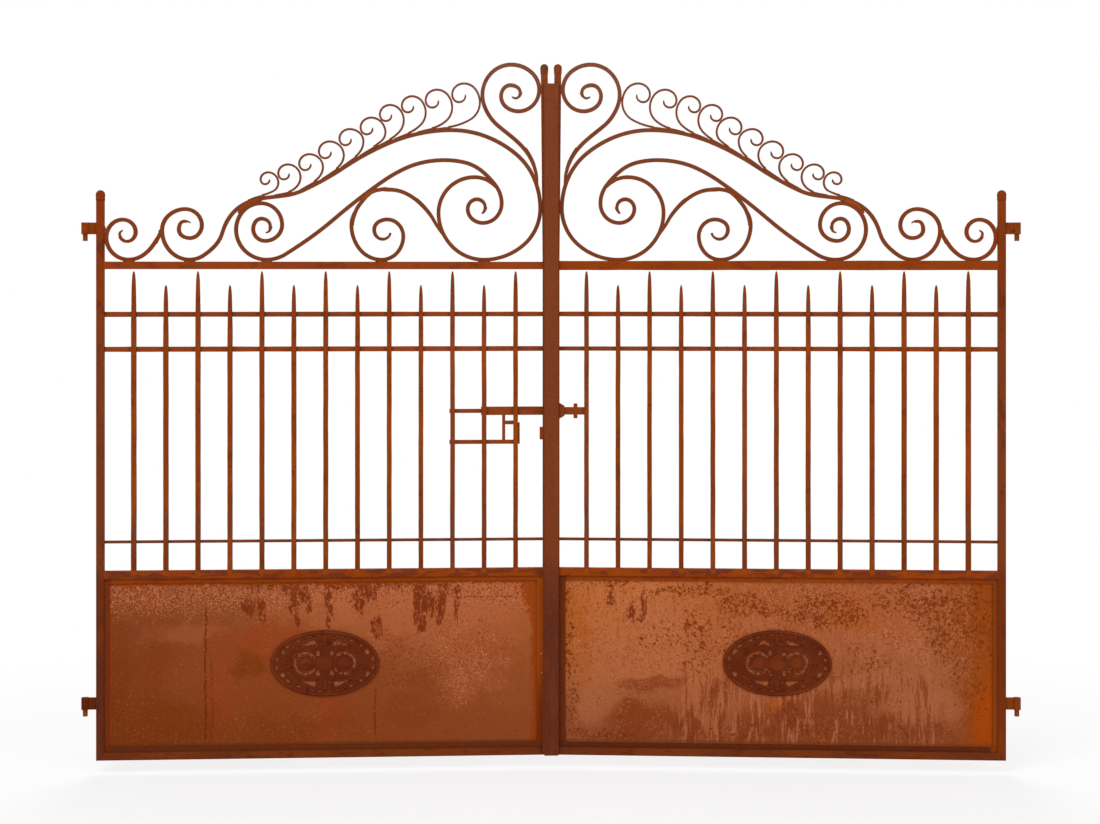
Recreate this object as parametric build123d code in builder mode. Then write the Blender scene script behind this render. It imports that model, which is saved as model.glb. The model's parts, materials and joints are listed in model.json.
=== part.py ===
from build123d import *

import os
from math import atan2, cos, degrees, radians, sin, sqrt

# Wrought iron driveway gate: a pair of leaves with pickets above sheet panels, under scrollwork
# that climbs to the meeting stiles. It hangs on four hinge pins.
#
# Everything is drawn in millimetres about the gate's middle line, x = 0, with the foot of the
# leaves at z = 0 and the front towards -Y. Only the left leaf (x < 0) is drawn: the right leaf
# repeats it in the mirror. Both leaves stand a little ajar, swung about their pins towards +Y. Each
# finished piece is set down so that the origin is the centre of the lower left pin's bottom face.

os.makedirs("parts", exist_ok=True)

# ---------------------------------------------------------------- driving dimensions

# Leaves
gate_width = 3000.0  # over both hanging stiles, with the gate shut
meeting_gap = 6.0  # between the two meeting stiles up to the top rails, with the gate shut
meeting_spread = 6.0  # by which each then leans away from the other, up to its cap
ajar = 3.4  # degrees that each leaf stands open
stile = 25.0  # square bar of the hanging stiles and main rails
meeting_stile_width = 22.0
top_rail_foot = 1620.0  # underside of the top rail
panel_rail_foot = 598.0
hanging_stile_rise = 217.0  # top rail to the underside of the hanging stile's cap
scroll_field_height = 636.0  # top rail to the underside of the meeting stile's cap
fit_gap = 0.1  # between pieces that are welded side by side

# Balls on top of the stiles
hanging_ball_radius = 15.5
hanging_ball_rise = 19.0  # of the top of the ball above its stile
meeting_ball_radius = 13.5
meeting_ball_rise = 25.0

# Pickets and the light rails behind them
picket = 14.0  # square bar
picket_count = 13  # in each leaf
first_picket = 118.5  # middle of the gate to the first picket
last_picket = 98.9  # hanging stile to the last picket
picket_front = -11.0  # y of the pickets' front faces
tip_clearance = 7.0  # under the top rail, of the first, third, fifth ... picket
short_tip_drop = 46.0  # by which the pickets between them are shorter
point_length = 88.0
point_swell = 17.5  # width of the spear point at its shoulder
point_shoulder = 26.0  # from the start of the point up to its shoulder
point_end = 2.0
light_rail_depth = 9.0
light_rail_height = 14.0
upper_rail_drop = 149.5  # top rail's underside to the middle of the upper light rail
lower_rail_drop = 265.0
thin_rail_height = 9.0
thin_rail_rise = 95.0  # panel rail to the middle of the thin rail

# Sheet panel, the flat bar round it and its cast medallion
sheet = 3.0
sheet_front = 1.0
border_width = 16.0
meeting_border_width = 20.0  # beside the meeting stile
border_depth = 6.0
medallion_width = 360.0
medallion_height = 218.0
medallion_depth = 6.0
boss_offset = 64.0  # middle of the medallion to each of its two round bosses
boss_radius = 26.0
petal_radius = 5.0  # of the beads that scallop a boss's edge
petal_count = 9
crescent_width = 14.0  # of the opening that bends round a boss
crescent_ends = 25.0  # degrees from the medallion's long axis to each end of that opening

# Scrollwork
scroll_width = 13.0  # of the bar, seen from the front
scroll_depth = 12.0
curl_width = 7.0
curl_depth = 8.0
scroll_tip = 4.0  # width to which a scroll's eye is drawn down
curl_tip = 2.0
curl_lean = 7.0  # degrees that a ridge curl's foot is steeper than the arch under it

# Hinges
pin_radius = 8.0
pin_free_length = 22.0  # below the eye
journal_radius = 6.5  # of the pin inside the eye
journal_clearance = 0.05
eye_radius = 13.0
eye_height = 39.0
pin_offset = 37.0  # outer face of the hanging stile to the pins' axis
lower_eye_foot = 167.0
upper_eye_rise = 90.0  # top rail to the foot of the upper eye
strap_depth = 9.0
tenon_radius = 6.0
tenon_clearance = 0.1
rivet_head_radius = 9.0
rivet_head_height = 3.5

# Cover strip on the left leaf, over the gap between the meeting stiles
strip_left = 21.0  # from the middle of the gate
strip_right = 26.0
strip_depth = 6.0
strip_relief = 9.5  # between the strip and the right meeting stile
strip_below_cap = 42.0

# Bolt of the right leaf, drawn back, and the bars it shoots towards
bolt_middle = 1147.0
bolt_height = 25.0
bolt_depth = 8.0
bolt_clearance = 0.5
keeper_clearance = 2.5  # round the bolt in the left leaf's slot
bolt_tip = 10.0  # its end from the middle of the gate
knob_middle = 79.0
knob_radius = 6.5
knob_height = 49.0
collar_length = 17.0
collar_base_radius = 27.0  # of the cone, which is cut flat flush with the stile, front and back
collar_end_radius = 17.0
keeper_length = 206.0
lock_bar = 11.0
lock_bar_depth = 8.0
lock_bar_drop = 109.0  # the bolt's middle to the foot of the lower lock bar
lock_post = 7.0  # upright bar between the lower lock bar and the keeper bar
lock_post_left = 159.0  # from the middle of the gate
latch_drop = 44.0  # to the foot of the short bar from the post to the latch plate
latch_height = 10.0
latch_plate_width = 18.0
latch_plate_right = 103.5  # from the middle of the gate
latch_plate_drop = 40.0  # to the top of the plate
tab_width = 11.0
tab_drop = 95.0  # to the foot of the strike tab
tab_height = 42.0
tab_depth = 5.0

# ---------------------------------------------------------------- sizes that follow

leaf_end = gate_width / 2
hanging_face = leaf_end - stile  # inner face of the hanging stile
meeting_edge = meeting_gap / 2  # face of the meeting stile towards the other leaf
meeting_face = meeting_edge + meeting_stile_width
half_stile = stile / 2
top_rail_top = top_rail_foot + stile
panel_rail_top = panel_rail_foot + stile
hanging_stile_height = top_rail_top + hanging_stile_rise
meeting_stile_height = top_rail_top + scroll_field_height
tall_tip = top_rail_foot - tip_clearance
short_tip = tall_tip - short_tip_drop
upper_rail_middle = top_rail_foot - upper_rail_drop
lower_rail_middle = top_rail_foot - lower_rail_drop
thin_rail_middle = panel_rail_top + thin_rail_rise
picket_spacing = (hanging_face - last_picket - first_picket) / (picket_count - 1)
picket_back = picket_front + picket
light_rail_back = picket_back + light_rail_depth
strip_height = meeting_stile_height - strip_below_cap
upper_eye_foot = top_rail_top + upper_eye_rise
lock_bar_foot = bolt_middle - lock_bar_drop
latch_foot = bolt_middle - latch_drop
latch_plate_top = bolt_middle - latch_plate_drop
tab_foot = bolt_middle - tab_drop
pin_axis = leaf_end + pin_offset
left_pins = Axis((-pin_axis, 0, 0), (0, 0, 1))
right_pins = Axis((pin_axis, 0, 0), (0, 0, 1))
set_down = Location((pin_axis, 0, pin_free_length - lower_eye_foot))


# ---------------------------------------------------------------- helpers


def save(piece, name):
    """Write one finished piece, set down about the gate's origin."""
    placed = piece.moved(set_down)
    placed.label = name
    export_step(placed, f"parts/{name}.step")


def save_left(piece, name):
    """Write a piece that swings with the left leaf."""
    save(piece.rotate(left_pins, ajar), name)


def save_right(piece, name):
    """Write a piece that swings with the right leaf."""
    save(piece.rotate(right_pins, -ajar), name)


def save_pair(piece, name):
    """Write a piece of the left leaf and its mirror image on the right leaf."""
    save_left(piece, f"left_{name}")
    save_right(mirror(piece, about=Plane.YZ), f"right_{name}")


def add_bar(x_low, x_high, y_low, y_high, z_low, z_high, mode=Mode.ADD):
    """Straight bar between two opposite corners, in the piece being built."""
    with Locations((x_low, y_low, z_low)):
        Box(
            x_high - x_low,
            y_high - y_low,
            z_high - z_low,
            align=(Align.MIN, Align.MIN, Align.MIN),
            mode=mode,
        )


# ---------------------------------------------------------------- hinge pins


def hinge_pin_at(x, eye_foot):
    """Wall pin: a free end under the leaf's eye, and a thinner journal up through the eye."""
    with BuildPart() as pin:
        with Locations((x, 0, eye_foot - pin_free_length)):
            Cylinder(pin_radius, pin_free_length, align=(Align.CENTER, Align.CENTER, Align.MIN))
        with Locations((x, 0, eye_foot)):
            Cylinder(journal_radius, eye_height, align=(Align.CENTER, Align.CENTER, Align.MIN))
        chamfer(pin.faces().sort_by(Axis.Z)[-1].edges(), 1.0)
    return pin.part


with BuildPart() as hinge_pins:
    for side in (-1, 1):
        for eye_foot in (lower_eye_foot, upper_eye_foot):
            add(hinge_pin_at(side * pin_axis, eye_foot))
save(hinge_pins.part, "hinge_pins")


def hinge_eye_at(eye_foot, rivet_head=True):
    """Eye on a strap whose tenon goes through the hanging stile, to a rivet head where it shows."""
    middle = eye_foot + eye_height / 2
    with BuildPart() as eye:
        with Locations((-pin_axis, 0, eye_foot)):
            Cylinder(eye_radius, eye_height, align=(Align.CENTER, Align.CENTER, Align.MIN))
        add_bar(
            -pin_axis,
            -leaf_end,
            -strap_depth / 2,
            strap_depth / 2,
            eye_foot,
            eye_foot + eye_height,
        )
        with BuildSketch(Plane.YZ.offset(-leaf_end)):
            with Locations((0, middle)):
                Circle(tenon_radius)
        extrude(amount=stile)
        if rivet_head:
            with BuildSketch(Plane.YZ.offset(-hanging_face)):
                with Locations((0, middle)):
                    Circle(rivet_head_radius)
            extrude(amount=rivet_head_height, taper=30)
        with Locations((-pin_axis, 0, eye_foot)):
            Cylinder(
                journal_radius + journal_clearance,
                eye_height,
                align=(Align.CENTER, Align.CENTER, Align.MIN),
                mode=Mode.SUBTRACT,
            )
    return eye.part


save_pair(hinge_eye_at(upper_eye_foot), "upper_hinge_eye")
save_pair(hinge_eye_at(lower_eye_foot, rivet_head=False), "lower_hinge_eye")

# ---------------------------------------------------------------- stiles and rails


with BuildPart() as hanging_stile:
    add_bar(-leaf_end, -hanging_face, -half_stile, half_stile, 0, hanging_stile_height)
    ball_middle = hanging_stile_height + hanging_ball_rise - hanging_ball_radius
    with Locations((-leaf_end + half_stile, 0, ball_middle)):
        Sphere(hanging_ball_radius)
    for eye_foot in (lower_eye_foot, upper_eye_foot):
        with BuildSketch(Plane.YZ.offset(-leaf_end)):
            with Locations((0, eye_foot + eye_height / 2)):
                Circle(tenon_radius + tenon_clearance)
        extrude(amount=stile, mode=Mode.SUBTRACT)
save_pair(hanging_stile.part, "hanging_stile")


def meeting_stile_with_slot(clearance):
    """Meeting stile with its ball and a slot that takes the bolt with this clearance."""
    with BuildPart() as meeting_stile:
        with BuildSketch(Plane.XZ.offset(-half_stile)):
            Polygon(
                (-meeting_face, 0),
                (-meeting_edge, 0),
                (-meeting_edge, top_rail_top),
                (-meeting_edge - meeting_spread, meeting_stile_height),
                (-meeting_face - meeting_spread, meeting_stile_height),
                (-meeting_face, top_rail_top),
                align=None,
            )
        extrude(amount=stile)
        ball_middle = meeting_stile_height + meeting_ball_rise - meeting_ball_radius
        with Locations((-meeting_edge - meeting_spread - meeting_stile_width / 2, 0, ball_middle)):
            Sphere(meeting_ball_radius)
        slot_height = bolt_height + 2 * clearance
        slot_depth = bolt_depth + 2 * clearance
        add_bar(
            -meeting_face,
            -meeting_edge,
            -slot_depth / 2,
            slot_depth / 2,
            bolt_middle - slot_height / 2,
            bolt_middle + slot_height / 2,
            mode=Mode.SUBTRACT,
        )
    return meeting_stile.part


save_left(meeting_stile_with_slot(keeper_clearance), "left_meeting_stile")
right_meeting_stile = mirror(meeting_stile_with_slot(bolt_clearance), about=Plane.YZ)
save_right(right_meeting_stile, "right_meeting_stile")


def rail(y_low, y_high, z_low, z_high):
    """Bar from the hanging stile to the meeting stile."""
    with BuildPart() as bar:
        add_bar(-hanging_face, -meeting_face, y_low, y_high, z_low, z_high)
    return bar.part


save_pair(rail(-half_stile, half_stile, top_rail_foot, top_rail_top), "top_rail")
save_pair(rail(-half_stile, half_stile, panel_rail_foot, panel_rail_top), "panel_rail")
save_pair(rail(-half_stile, half_stile, 0, stile), "bottom_rail")


def light_rail(middle, height):
    """Light bar that lies behind the pickets."""
    return rail(picket_back, light_rail_back, middle - height / 2, middle + height / 2)


save_pair(light_rail(upper_rail_middle, light_rail_height), "upper_light_rail")
save_pair(light_rail(lower_rail_middle, light_rail_height), "lower_light_rail")
save_pair(light_rail(thin_rail_middle, thin_rail_height), "thin_rail")

# ---------------------------------------------------------------- pickets


def picket_at(x_middle, tip):
    """Square picket drawn out to a spear point, which swells at its shoulder."""
    y_middle = picket_front + picket / 2
    shaft_top = tip - point_length
    shoulder = shaft_top + point_shoulder
    with BuildPart() as bar:
        with BuildSketch(Plane.XY.offset(panel_rail_top)):
            with Locations((x_middle, y_middle)):
                Rectangle(picket, picket)
        extrude(amount=shaft_top - panel_rail_top)
        for z, width, depth in (
            (shaft_top, picket, picket),
            (shoulder, point_swell, picket),
            (tip, point_end, point_end),
        ):
            with BuildSketch(Plane.XY.offset(z)):
                with Locations((x_middle, y_middle)):
                    Rectangle(width, depth)
        loft(ruled=True)
    return bar.part


with BuildPart() as pickets:
    for number in range(picket_count):
        tip = tall_tip if number % 2 == 0 else short_tip
        add(picket_at(-first_picket - number * picket_spacing, tip))
save_pair(pickets.part, "pickets")

# ---------------------------------------------------------------- sheet panel and medallion

with BuildPart() as sheet_panel:
    add_bar(
        -hanging_face, -meeting_face, sheet_front, sheet_front + sheet, stile, panel_rail_foot
    )
save_pair(sheet_panel.part, "sheet_panel")

with BuildPart() as panel_border:
    border_front = sheet_front - border_depth
    for z_low in (stile, panel_rail_foot - border_width):
        add_bar(-hanging_face, -meeting_face, border_front, sheet_front, z_low, z_low + border_width)
    for x_low, width in (
        (-hanging_face, border_width),
        (-meeting_face - meeting_border_width, meeting_border_width),
    ):
        add_bar(
            x_low,
            x_low + width,
            border_front,
            sheet_front,
            stile + border_width + fit_gap,
            panel_rail_foot - border_width - fit_gap,
        )
save_pair(panel_border.part, "panel_border")

panel_middle_x = -(hanging_face + meeting_face) / 2
panel_middle_z = (stile + panel_rail_foot) / 2

# Openings in one quarter of the medallion's tracery, from its middle: the oblong ones as (across,
# up, length, width, slope in degrees), then the corners of the long one beside the upper palmette.
oblong_openings = [
    (159, 14, 18, 10, 84),
    (140, 37, 19, 14, 128),
    (123, 57, 17, 10, 150),
    (108, 46, 16, 9, 135),
    (88, 75, 17, 9, 160),
    (63, 85, 14, 8, 166),
    (42, 90, 13, 7, 172),
    (16, 93, 16, 7, 178),
    (23, 33, 19, 13, 90),
    (15, 62, 14, 6, 55),
]
palmette_opening = [(92, 56), (34, 79), (22, 52), (36, 60)]
quarters = [(1, 1), (-1, 1), (-1, -1), (1, -1)]

crescent_sweep = 360 - 2 * crescent_ends

with BuildPart() as medallion:
    with BuildSketch(Plane.XZ.offset(-sheet_front)):
        with Locations((panel_middle_x, panel_middle_z)):
            Ellipse(medallion_width / 2, medallion_height / 2)
        for side_x, side_z in quarters:
            for across, up, length, width, slope in oblong_openings:
                middle = (panel_middle_x + side_x * across, panel_middle_z + side_z * up)
                with Locations(Location(middle, side_x * side_z * slope)):
                    Rectangle(length, width, mode=Mode.SUBTRACT)
            corners = [
                (panel_middle_x + side_x * across, panel_middle_z + side_z * up)
                for across, up in palmette_opening
            ]
            Polygon(*corners, align=None, mode=Mode.SUBTRACT)
        for side, towards_middle in ((-1, 0), (1, 180)):
            boss = (panel_middle_x + side * boss_offset, panel_middle_z)
            start = towards_middle + crescent_ends
            with BuildLine():
                inner = CenterArc(boss, boss_radius, start, crescent_sweep)
                outer = CenterArc(boss, boss_radius + crescent_width, start, crescent_sweep)
                Line(inner @ 0, outer @ 0)
                Line(inner @ 1, outer @ 1)
            make_face(mode=Mode.SUBTRACT)
            petal_step = crescent_sweep / petal_count
            first_petal = start + petal_step / 2
            petal_sweep = crescent_sweep - petal_step
            with Locations(boss):
                with PolarLocations(boss_radius, petal_count, first_petal, petal_sweep, endpoint=True):
                    Circle(petal_radius)
    extrude(amount=medallion_depth)
save_pair(medallion.part, "medallion")

# ---------------------------------------------------------------- scrollwork

# A scroll is a flat bar bent edge to edge. It is given as stations along the bar's middle line:
# (across, up, heading, width). across is from the hanging stile's inner face towards the meeting
# stile, up is above the top rail, and the heading is in degrees, 0 towards the meeting stile and
# 90 straight up. Between two stations each edge of the bar is a pair of arcs, tangent throughout.
# The stations are drawn for the field below, and stretch with the leaf's own field, whose right
# side leans with the meeting stile.

drawn_field = (1442, 629)  # width and height
stretch_across = (hanging_face - meeting_face) / drawn_field[0]
stretch_up = scroll_field_height / drawn_field[1]
bar_scale = min(stretch_across, stretch_up, 1.0)

full = scroll_width * bar_scale
thinned = 0.8 * full
tip = scroll_tip * bar_scale
half_full = full / 2
scroll_floor = (half_full + fit_gap) / stretch_up  # a bar that lies on the top rail
scroll_left = (half_full + fit_gap) / stretch_across  # one that stands against the hanging stile
scroll_right = drawn_field[0] - scroll_left  # one against the meeting stile
EAST, NORTH, WEST, SOUTH = 0, 90, 180, 270
straight_enough = 0.001  # sine of the angle between a line and the arc it stands in for


def stretched(stations):
    """Stations moved from the field they are drawn for to the leaf's own field."""
    moved = []
    for across, up, heading, width in stations:
        share = across / drawn_field[0]
        height = up * stretch_up
        narrowing = meeting_spread * height / scroll_field_height
        pull = share * meeting_spread * stretch_up / scroll_field_height
        stretch_here = stretch_across - narrowing / drawn_field[0]
        run = stretch_here * cos(radians(heading)) - pull * sin(radians(heading))
        rise = stretch_up * sin(radians(heading))
        moved.append((across * stretch_here, height, degrees(atan2(rise, run)), width))
    return moved


def direction(heading):
    """Unit vector along a heading."""
    return Vector(cos(radians(heading)), sin(radians(heading)))


def edge_station(station, side):
    """Point and direction on one edge of the bar."""
    across, up, heading, width = station
    edge = Vector(across, up) + direction(heading + 90) * (side * width / 2)
    return edge, direction(heading)


def add_arc(start, leaving, end):
    """Arc of a circle that leaves its start in this direction, or a line where it runs straight."""
    chord = end - start
    if chord.normalized().cross(leaving).length < straight_enough:
        Line(start, end)
    else:
        TangentArc(start, end, tangent=leaving)


def add_bend(start, end):
    """Two tangent arcs from one edge station to the next, in the line being built."""
    first, leaving = start
    last, arriving = end
    chord = last - first
    along = chord.dot(leaving + arriving)
    square = chord.dot(chord)
    spread = 2 * (1 - leaving.dot(arriving))
    if spread < straight_enough**2:
        reach = square / (2 * along)
    else:
        reach = (sqrt(along * along + spread * square) - along) / spread
    corner = first + leaving * reach
    far_corner = last - arriving * reach
    middle = (corner + far_corner) / 2
    add_arc(first, leaving, middle)
    add_arc(middle, far_corner - corner, last)


scroll_plane = Plane(origin=(-hanging_face, 0, top_rail_top), x_dir=(1, 0, 0), z_dir=(0, -1, 0))


def scroll(stations, depth=scroll_depth):
    """Flat bar bent through its stations."""
    upper = [edge_station(station, 1) for station in stations]
    lower = [edge_station(station, -1) for station in stations]
    with BuildPart() as bar:
        with BuildSketch(scroll_plane):
            with BuildLine():
                for edge in (upper, lower):
                    for start, end in zip(edge, edge[1:]):
                        add_bend(start, end)
                Line(upper[0][0], lower[0][0])
                Line(upper[-1][0], lower[-1][0])
            make_face()
        extrude(amount=depth / 2, both=True)
    return bar.part


arch_left = 188  # where the outer scroll leans on the arch
lean = (half_full + tip / 2 + fit_gap) / stretch_across

outer_scroll = stretched(
    [
        (48, 82, 285, tip),
        (74, 66, EAST, thinned),
        (102, 97, NORTH, full),
        (60, 137, WEST, full),
        (scroll_left, 79, SOUTH, full),
        (79, scroll_floor, EAST, full),
        (163, 60, 58, full),
        (arch_left - lean, 104, NORTH, tip),
    ]
)

arch_scroll = stretched(
    [
        (281, 126, 130, tip),
        (261, 132, WEST, thinned),
        (243, 105, SOUTH, full),
        (278, 77, EAST, full),
        (318, 119, NORTH, full),
        (264, 172, WEST, full),
        (arch_left, 102, SOUTH, full),
        (278, scroll_floor, EAST, full),
        (359, 50, 46, full),
        (408, 144.5, 56, full),
        (517, 208, 7, full),
        (652, 235, 25, full),
        (924, 386, 24, full),
        (1144, 434, EAST, full),
        (1357, 355, -40, full),
        (scroll_right, 178, SOUTH, full),
        (1246, scroll_floor, WEST, full),
        (1097, 160, NORTH, full),
        (1217, 279, EAST, full),
        (1267.6, 262.6, -33, tip),
    ]
)

long_scroll = stretched(
    [
        (535, 96, 55, tip),
        (542, 116, NORTH, thinned),
        (514, 141, WEST, full),
        (486, 107, SOUTH, full),
        (525, 68, EAST, full),
        (581, 121, NORTH, full),
        (512, 191.5, WEST, full),
        (430, 105, SOUTH, full),
        (530, scroll_floor, EAST, full),
        (648, 61, 34, full),
        (853, 221, 37, full),
        (987, 307, 25, full),
        (1120, 335, EAST, full),
        (1241, 300, -39, full),
        (1307, 193, SOUTH, full),
        (1244, 128, WEST, full),
        (1194, 174, NORTH, full),
        (1225, 206, EAST, full),
        (1252, 180, SOUTH, thinned),
        (1240, 159, 225, tip),
    ]
)

middle_scroll = stretched(
    [
        (935, 95, SOUTH, tip),
        (912, 74, WEST, thinned),
        (884, 105, NORTH, full),
        (927, 139, EAST, full),
        (980, 84, SOUTH, full),
        (908, scroll_floor, WEST, full),
        (809, 119, NORTH, full),
        (853, 210.1, 48, tip),
    ]
)

link_scroll = stretched(
    [
        (881, 231, 22, tip),
        (937, 237, EAST, full),
        (1020, 206, -38, full),
        (1097.5, 105.5, -60, tip),
    ]
)

crest_scroll = stretched(
    [
        (1352, 539, EAST, tip),
        (1372, 559, NORTH, thinned),
        (1340, 583, WEST, full),
        (1308, 546, SOUTH, full),
        (1365, 497, EAST, full),
        (scroll_right, 569, NORTH, full),
        (1344, 651, WEST, full),
        (1246, 550, SOUTH, full),
        (1273, 475, -54, full),
        (1327, 425, -38, full),
        (1382, 375, -49, full),
        (1424.5, 277, -76, tip),
    ]
)

save_pair(scroll(outer_scroll), "outer_scroll")
save_pair(scroll(arch_scroll), "arch_scroll")
save_pair(scroll(long_scroll), "long_scroll")
save_pair(scroll(middle_scroll), "middle_scroll")
save_pair(scroll(link_scroll), "link_scroll")
save_pair(scroll(crest_scroll), "crest_scroll")

# The ridge curls stand in a row on the arch. Each has its foot at a distance along the arch from
# the arch's first crest, and is given as (foot, right side across and up, top, width).
ridge_curl_places = [
    (0, 569, 259, 293, 58),
    (88, 642, 278, 319, 73),
    (182, 716, 311, 353, 78),
    (267, 785, 350, 395, 82),
    (340, 850, 396, 436, 79),
    (409, 923, 426, 474, 82),
    (467, 984, 466, 516, 79),
    (531, 1057, 492, 545, 79),
    (609, 1145, 509, 567, 88),
    (663, 1237.3, 526, 588, 92),
]
curl = curl_width * bar_scale
curl_end = curl_tip * bar_scale

with BuildLine(mode=Mode.PRIVATE) as arch_middle:
    arch_back = [edge_station(station, 0) for station in arch_scroll[10:15]]
    for start, end in zip(arch_back, arch_back[1:]):
        add_bend(start, end)


def ridge_curl(foot, right, right_up, top, width):
    """Stations of a ridge curl from its foot on the arch, up its right side and over to its eye."""
    arch = arch_middle.wire()
    foot *= stretch_across
    seat = arch.position_at(foot, position_mode=PositionMode.LENGTH)
    along = arch.tangent_at(foot, position_mode=PositionMode.LENGTH)
    slope = along.get_signed_angle(Vector(1, 0))
    lift = (full + curl) / 2 + fit_gap
    start = seat + direction(slope + 90) * lift
    rest = stretched(
        [
            (right, right_up, NORTH, curl),
            (right - 0.57 * width, top, WEST, curl),
            (right - width, top - 0.4 * width, SOUTH, curl),
            (right - 0.76 * width, top - 0.67 * width, EAST, curl),
            (right - 0.55 * width, top - 0.47 * width, NORTH, curl_end),
        ]
    )
    return [(start.X, start.Y, slope + curl_lean, curl), *rest]


with BuildPart() as ridge_curls:
    for place in ridge_curl_places:
        add(scroll(ridge_curl(*place), curl_depth))
save_pair(ridge_curls.part, "ridge_curls")

# ---------------------------------------------------------------- cover strip

with BuildPart() as cover_strip:
    strip_back = -half_stile - strip_relief
    add_bar(-strip_left, strip_right, strip_back - strip_depth, strip_back, 0, strip_height)
    add_bar(-strip_left, -meeting_edge, strip_back, -half_stile, 0, strip_height)
save_left(cover_strip.part, "cover_strip")

# ---------------------------------------------------------------- bolt and lock bars

with BuildPart() as bolt:
    bolt_low = bolt_middle - bolt_height / 2
    bolt_high = bolt_middle + bolt_height / 2
    bolt_end = first_picket - picket / 2 - fit_gap
    add_bar(bolt_tip, bolt_end, -bolt_depth / 2, bolt_depth / 2, bolt_low, bolt_high)
    with Locations((knob_middle, 0, bolt_middle)):
        Cylinder(knob_radius, knob_height)
save_right(bolt.part, "bolt")

with BuildPart() as bolt_collar:
    with BuildSketch(Plane.YZ.offset(meeting_face)):
        with Locations((0, bolt_middle)):
            Circle(collar_base_radius)
    with BuildSketch(Plane.YZ.offset(meeting_face + collar_length)):
        with Locations((0, bolt_middle)):
            Circle(collar_end_radius)
    loft()
    add_bar(
        meeting_face,
        meeting_face + collar_length,
        -half_stile,
        half_stile,
        bolt_middle - collar_base_radius,
        bolt_middle + collar_base_radius,
        mode=Mode.INTERSECT,
    )
    add_bar(
        meeting_face,
        meeting_face + collar_length,
        -bolt_depth / 2 - bolt_clearance,
        bolt_depth / 2 + bolt_clearance,
        bolt_low - bolt_clearance,
        bolt_high + bolt_clearance,
        mode=Mode.SUBTRACT,
    )
save_right(bolt_collar.part, "bolt_collar")

with BuildPart() as keeper_bar:
    add_bar(
        -meeting_face - keeper_length,
        -meeting_face,
        picket_back,
        picket_back + bolt_depth,
        bolt_low,
        bolt_high,
    )
save_left(keeper_bar.part, "keeper_bar")

lock_left_picket = -first_picket - 2 * picket_spacing  # the third picket from the meeting stile
lock_left = lock_left_picket - picket / 2
lock_bar_back = picket_back + lock_bar_depth
lock_bar_top = lock_bar_foot + lock_bar
latch_plate_left = -latch_plate_right - latch_plate_width

with BuildPart() as lock_bars:
    add_bar(
        lock_left, -first_picket + picket / 2, picket_back, lock_bar_back, lock_bar_foot, lock_bar_top
    )
    add_bar(
        -lock_post_left,
        lock_post - lock_post_left,
        picket_back,
        lock_bar_back,
        lock_bar_top,
        bolt_low - fit_gap,
    )
    add_bar(
        lock_post - lock_post_left,
        latch_plate_left,
        picket_back,
        lock_bar_back,
        latch_foot,
        latch_foot + latch_height,
    )
    add_bar(
        latch_plate_left,
        -latch_plate_right,
        picket_back,
        lock_bar_back,
        lock_bar_foot,
        latch_plate_top,
    )
    add_bar(
        lock_left,
        -meeting_face - keeper_length - fit_gap,
        picket_back,
        lock_bar_back,
        bolt_middle - lock_bar / 2,
        bolt_middle + lock_bar / 2,
    )
save_left(lock_bars.part, "lock_bars")

with BuildPart() as strike_tab:
    add_bar(
        -meeting_face - tab_width,
        -meeting_face,
        -half_stile,
        -half_stile + tab_depth,
        tab_foot,
        tab_foot + tab_height,
    )
save_left(strike_tab.part, "strike_tab")
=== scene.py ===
"""Looks of the wrought iron driveway gate: rust, forged and welded detail, floor, light and camera."""

import json
from math import cos, pi, radians, sin

import bmesh
import bpy
from mathutils import Matrix, Vector, noise
from mathutils.bvhtree import BVHTree
from mathutils.geometry import interpolate_bezier


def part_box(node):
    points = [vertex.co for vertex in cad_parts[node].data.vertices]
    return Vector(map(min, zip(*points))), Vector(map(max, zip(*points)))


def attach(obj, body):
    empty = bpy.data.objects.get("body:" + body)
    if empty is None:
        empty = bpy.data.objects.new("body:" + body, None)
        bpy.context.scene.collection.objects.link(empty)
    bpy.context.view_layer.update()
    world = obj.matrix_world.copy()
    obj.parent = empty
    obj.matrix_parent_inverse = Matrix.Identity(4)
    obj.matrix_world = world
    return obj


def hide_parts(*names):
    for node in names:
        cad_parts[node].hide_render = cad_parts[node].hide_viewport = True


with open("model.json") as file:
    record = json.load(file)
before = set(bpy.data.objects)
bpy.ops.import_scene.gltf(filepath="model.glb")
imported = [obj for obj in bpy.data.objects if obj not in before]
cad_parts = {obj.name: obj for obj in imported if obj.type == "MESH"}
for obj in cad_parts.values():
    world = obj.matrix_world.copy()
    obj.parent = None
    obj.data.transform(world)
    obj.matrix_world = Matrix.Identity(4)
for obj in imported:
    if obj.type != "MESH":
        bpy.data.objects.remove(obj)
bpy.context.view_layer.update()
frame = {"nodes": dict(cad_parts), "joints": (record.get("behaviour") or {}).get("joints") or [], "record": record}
nodes = frame["nodes"]
record = frame["record"]

# -------------------- places, in metres

mount = {m["name"]: Vector(m["pos_m"]) for m in record["mounts"]}
joint = {j["name"]: j for j in frame["joints"]}
pin_left = mount["lower_left_pin"]
pin_right = mount["lower_right_pin"]
middle_x = (pin_left.x + pin_right.x) / 2
ajar = radians(-joint["left_leaf_swing"]["range_deg"][0])
foot_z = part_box("left_hanging_stile")[0].z
eye_z = foot_z + 1.594  # height of a standing photographer's lens

leaf_turn = {"left": ajar, "right": -ajar}
leaf_pin = {"left": pin_left, "right": pin_right}
leaf_side = {"left": 1, "right": -1}  # which way a leaf runs from its pins, along x


def on_leaf(leaf, along, forward, height):
    """Point given by its distance from the leaf's pins, in front of its middle, and by its height."""
    side = leaf_side[leaf]
    back = -forward
    x = side * (along * cos(ajar) - back * sin(ajar))
    y = along * sin(ajar) + back * cos(ajar)
    return Vector((leaf_pin[leaf].x + x, leaf_pin[leaf].y + y, height))


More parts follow.
